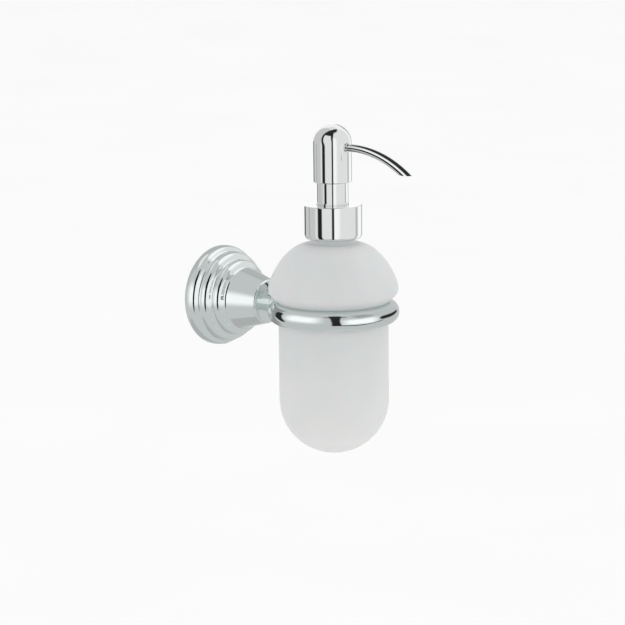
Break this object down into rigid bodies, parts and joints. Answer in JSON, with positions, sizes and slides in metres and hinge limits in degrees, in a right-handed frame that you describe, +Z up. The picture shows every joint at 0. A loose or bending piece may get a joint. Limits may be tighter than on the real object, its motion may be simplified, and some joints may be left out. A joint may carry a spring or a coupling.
{
  "type": "wall mounted soap dispenser",
  "caption": "Wall mounted soap dispenser: frosted glass bottle with a round bottom, hung by its dome in a chrome ring on a stepped wall rose, with a chrome pump.",
  "frame": {"origin": "centre of the wall rose's back face, on the wall", "axes": "+Z up, +Y into the wall, so the object stands out along -Y; +X along the wall"},
  "size_m": [0.0768, 0.1507, 0.194],
  "materials": {
    "chrome": "polished",
    "frosted_glass": "satin frosted",
    "steel": "satin",
    "zinc": "die cast",
    "white_plastic": "moulded",
    "clear_plastic": "translucent",
    "seal": "soft"
  },
  "bodies": {
    "holder": {"wall_bracket": "zinc", "wall_rose": "chrome", "rose_grub_screw": "steel", "ring_fixing_screw": "steel", "ring_fixing_washer": "steel", "ring_arm": "chrome", "holder_ring": "chrome"},
    "bottle": {"bottle": "frosted_glass"},
    "pump": {"neck_gasket": "seal", "pump_housing": "white_plastic", "housing_cap": "white_plastic", "guide_sleeve": "chrome", "return_spring": "steel", "dip_tube": "clear_plastic"},
    "collar": {"pump_collar": "chrome", "collar_nut": "white_plastic"},
    "inlet_valve": {"inlet_ball": "steel"},
    "plunger": {"piston": "white_plastic"},
    "head": {"plunger_stem": "white_plastic", "actuator_core": "white_plastic", "pump_head": "chrome", "spout_tube": "chrome"},
    "outlet_valve": {"outlet_ball": "steel"}
  },
  "joints": [
    {"name": "bottle_lift", "type": "slide", "parent": "holder", "child": "bottle", "axis": [0, 0, 1], "range_m": [0, 0.1]},
    {"name": "pump_rise", "type": "slide", "parent": "bottle", "child": "pump", "axis": [0, 0, 1], "range_m": [0, 0.0063]},
    {"name": "collar_turn", "type": "hinge", "parent": "pump", "child": "collar", "pos_m": [0, -0.092, 0], "axis": [0, 0, 1], "range_deg": [0, 540]},
    {"name": "pump_press", "type": "slide", "parent": "pump", "child": "plunger", "axis": [0, 0, -1], "range_m": [0, 0.012], "stiffness_N_per_m": 500, "springref_m": -0.01, "deforming": ["return_spring"]},
    {"name": "head_swivel", "type": "hinge", "parent": "plunger", "child": "head", "pos_m": [0, -0.092, 0], "axis": [0, 0, 1], "continuous": true},
    {"name": "inlet_valve_lift", "type": "slide", "parent": "pump", "child": "inlet_valve", "axis": [0, 0, 1], "range_m": [0, 0.002]},
    {"name": "outlet_valve_lift", "type": "slide", "parent": "head", "child": "outlet_valve", "axis": [0, 0, 1], "range_m": [0, 0.0015]}
  ],
  "couplings": [
    {"joint": "collar_turn", "follows": "pump_rise", "rad_per_m": 1484.2}
  ]
}
